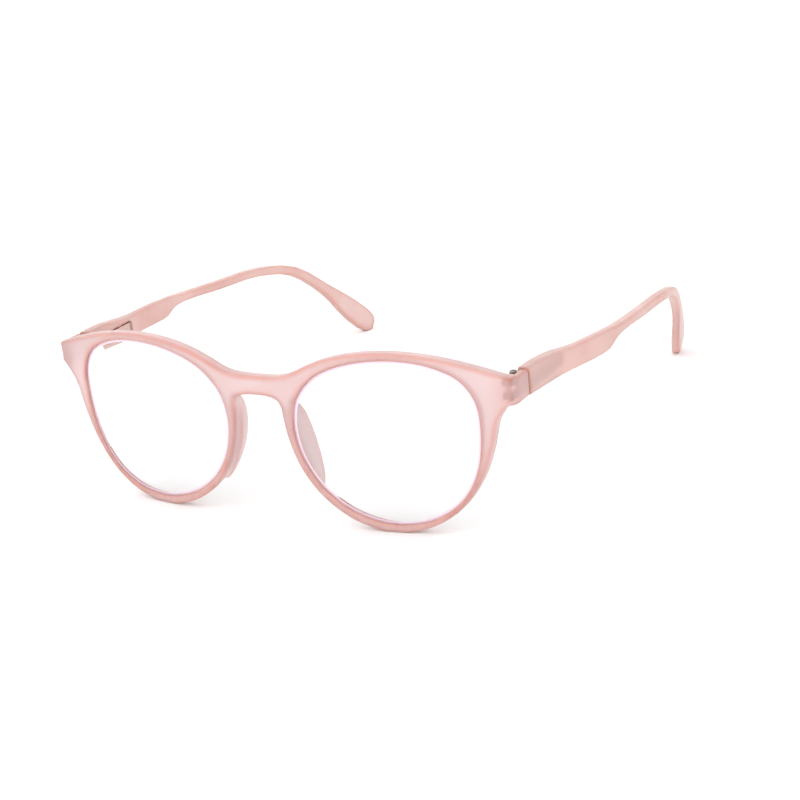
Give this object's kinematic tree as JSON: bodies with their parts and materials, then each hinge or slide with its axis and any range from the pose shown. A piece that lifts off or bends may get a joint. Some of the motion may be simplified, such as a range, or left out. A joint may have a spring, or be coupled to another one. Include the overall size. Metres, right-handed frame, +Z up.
{
  "type": "blue light glasses",
  "caption": "Round frosted translucent plastic glasses with clear coated lenses, a saddle bridge, moulded nose pads and sprung folding temples.",
  "frame": {"origin": "bottom centre of the bounding box, on the surface that the glasses stand on with the temples open", "axes": "+X to the wearer's left and the symmetry axis, +Y back towards the ears, +Z up; the lenses face -Y"},
  "size_m": [0.1388, 0.1424, 0.0455],
  "materials": {
    "frame_plastic": "frosted translucent",
    "lens_resin": "clear with a faint violet coating",
    "hinge_metal": "satin nickel",
    "spring_steel": "bright drawn wire"
  },
  "bodies": {
    "front": {"front_frame": "frame_plastic", "lens_left": "lens_resin", "lens_right": "lens_resin", "front_leaf_left": "hinge_metal", "front_leaf_right": "hinge_metal"},
    "screw_left": {"hinge_screw_left": "hinge_metal"},
    "slide_left": {"slider_left": "hinge_metal", "spring_collar_left": "hinge_metal"},
    "arm_left": {"temple_left": "frame_plastic", "spring_case_left": "hinge_metal", "guide_block_left": "hinge_metal", "lock_pin_left": "hinge_metal", "coil_spring_left": "spring_steel"},
    "screw_right": {"hinge_screw_right": "hinge_metal"},
    "slide_right": {"slider_right": "hinge_metal", "spring_collar_right": "hinge_metal"},
    "arm_right": {"temple_right": "frame_plastic", "spring_case_right": "hinge_metal", "guide_block_right": "hinge_metal", "lock_pin_right": "hinge_metal", "coil_spring_right": "spring_steel"}
  },
  "joints": [
    {"name": "fold_left", "type": "hinge", "parent": "front", "child": "screw_left", "pos_m": [0.0623, -0.05545, 0.0362], "axis": [0, 0, 1], "range_deg": [0, 88]},
    {"name": "flex_left", "type": "hinge", "parent": "screw_left", "child": "slide_left", "pos_m": [0.0623, -0.05545, 0.0362], "axis": [0, 0, -1], "range_deg": [0, 20], "stiffness_Nm_per_rad": 0.12, "springref_deg": -8.59},
    {"name": "spring_travel_left", "type": "slide", "parent": "slide_left", "child": "arm_left", "axis": [0, 1, 0], "range_m": [0, 0.002], "deforming": ["coil_spring_left"]},
    {"name": "fold_right", "type": "hinge", "parent": "front", "child": "screw_right", "pos_m": [-0.0623, -0.05545, 0.0362], "axis": [0, 0, -1], "range_deg": [0, 76]},
    {"name": "flex_right", "type": "hinge", "parent": "screw_right", "child": "slide_right", "pos_m": [-0.0623, -0.05545, 0.0362], "axis": [0, 0, 1], "range_deg": [0, 20], "stiffness_Nm_per_rad": 0.12, "springref_deg": -8.59},
    {"name": "spring_travel_right", "type": "slide", "parent": "slide_right", "child": "arm_right", "axis": [0, 1, 0], "range_m": [0, 0.002], "deforming": ["coil_spring_right"]}
  ],
  "couplings": [
    {"joint": "spring_travel_left", "follows": "flex_left", "m_per_rad": 0.0055},
    {"joint": "spring_travel_right", "follows": "flex_right", "m_per_rad": 0.0055}
  ]
}
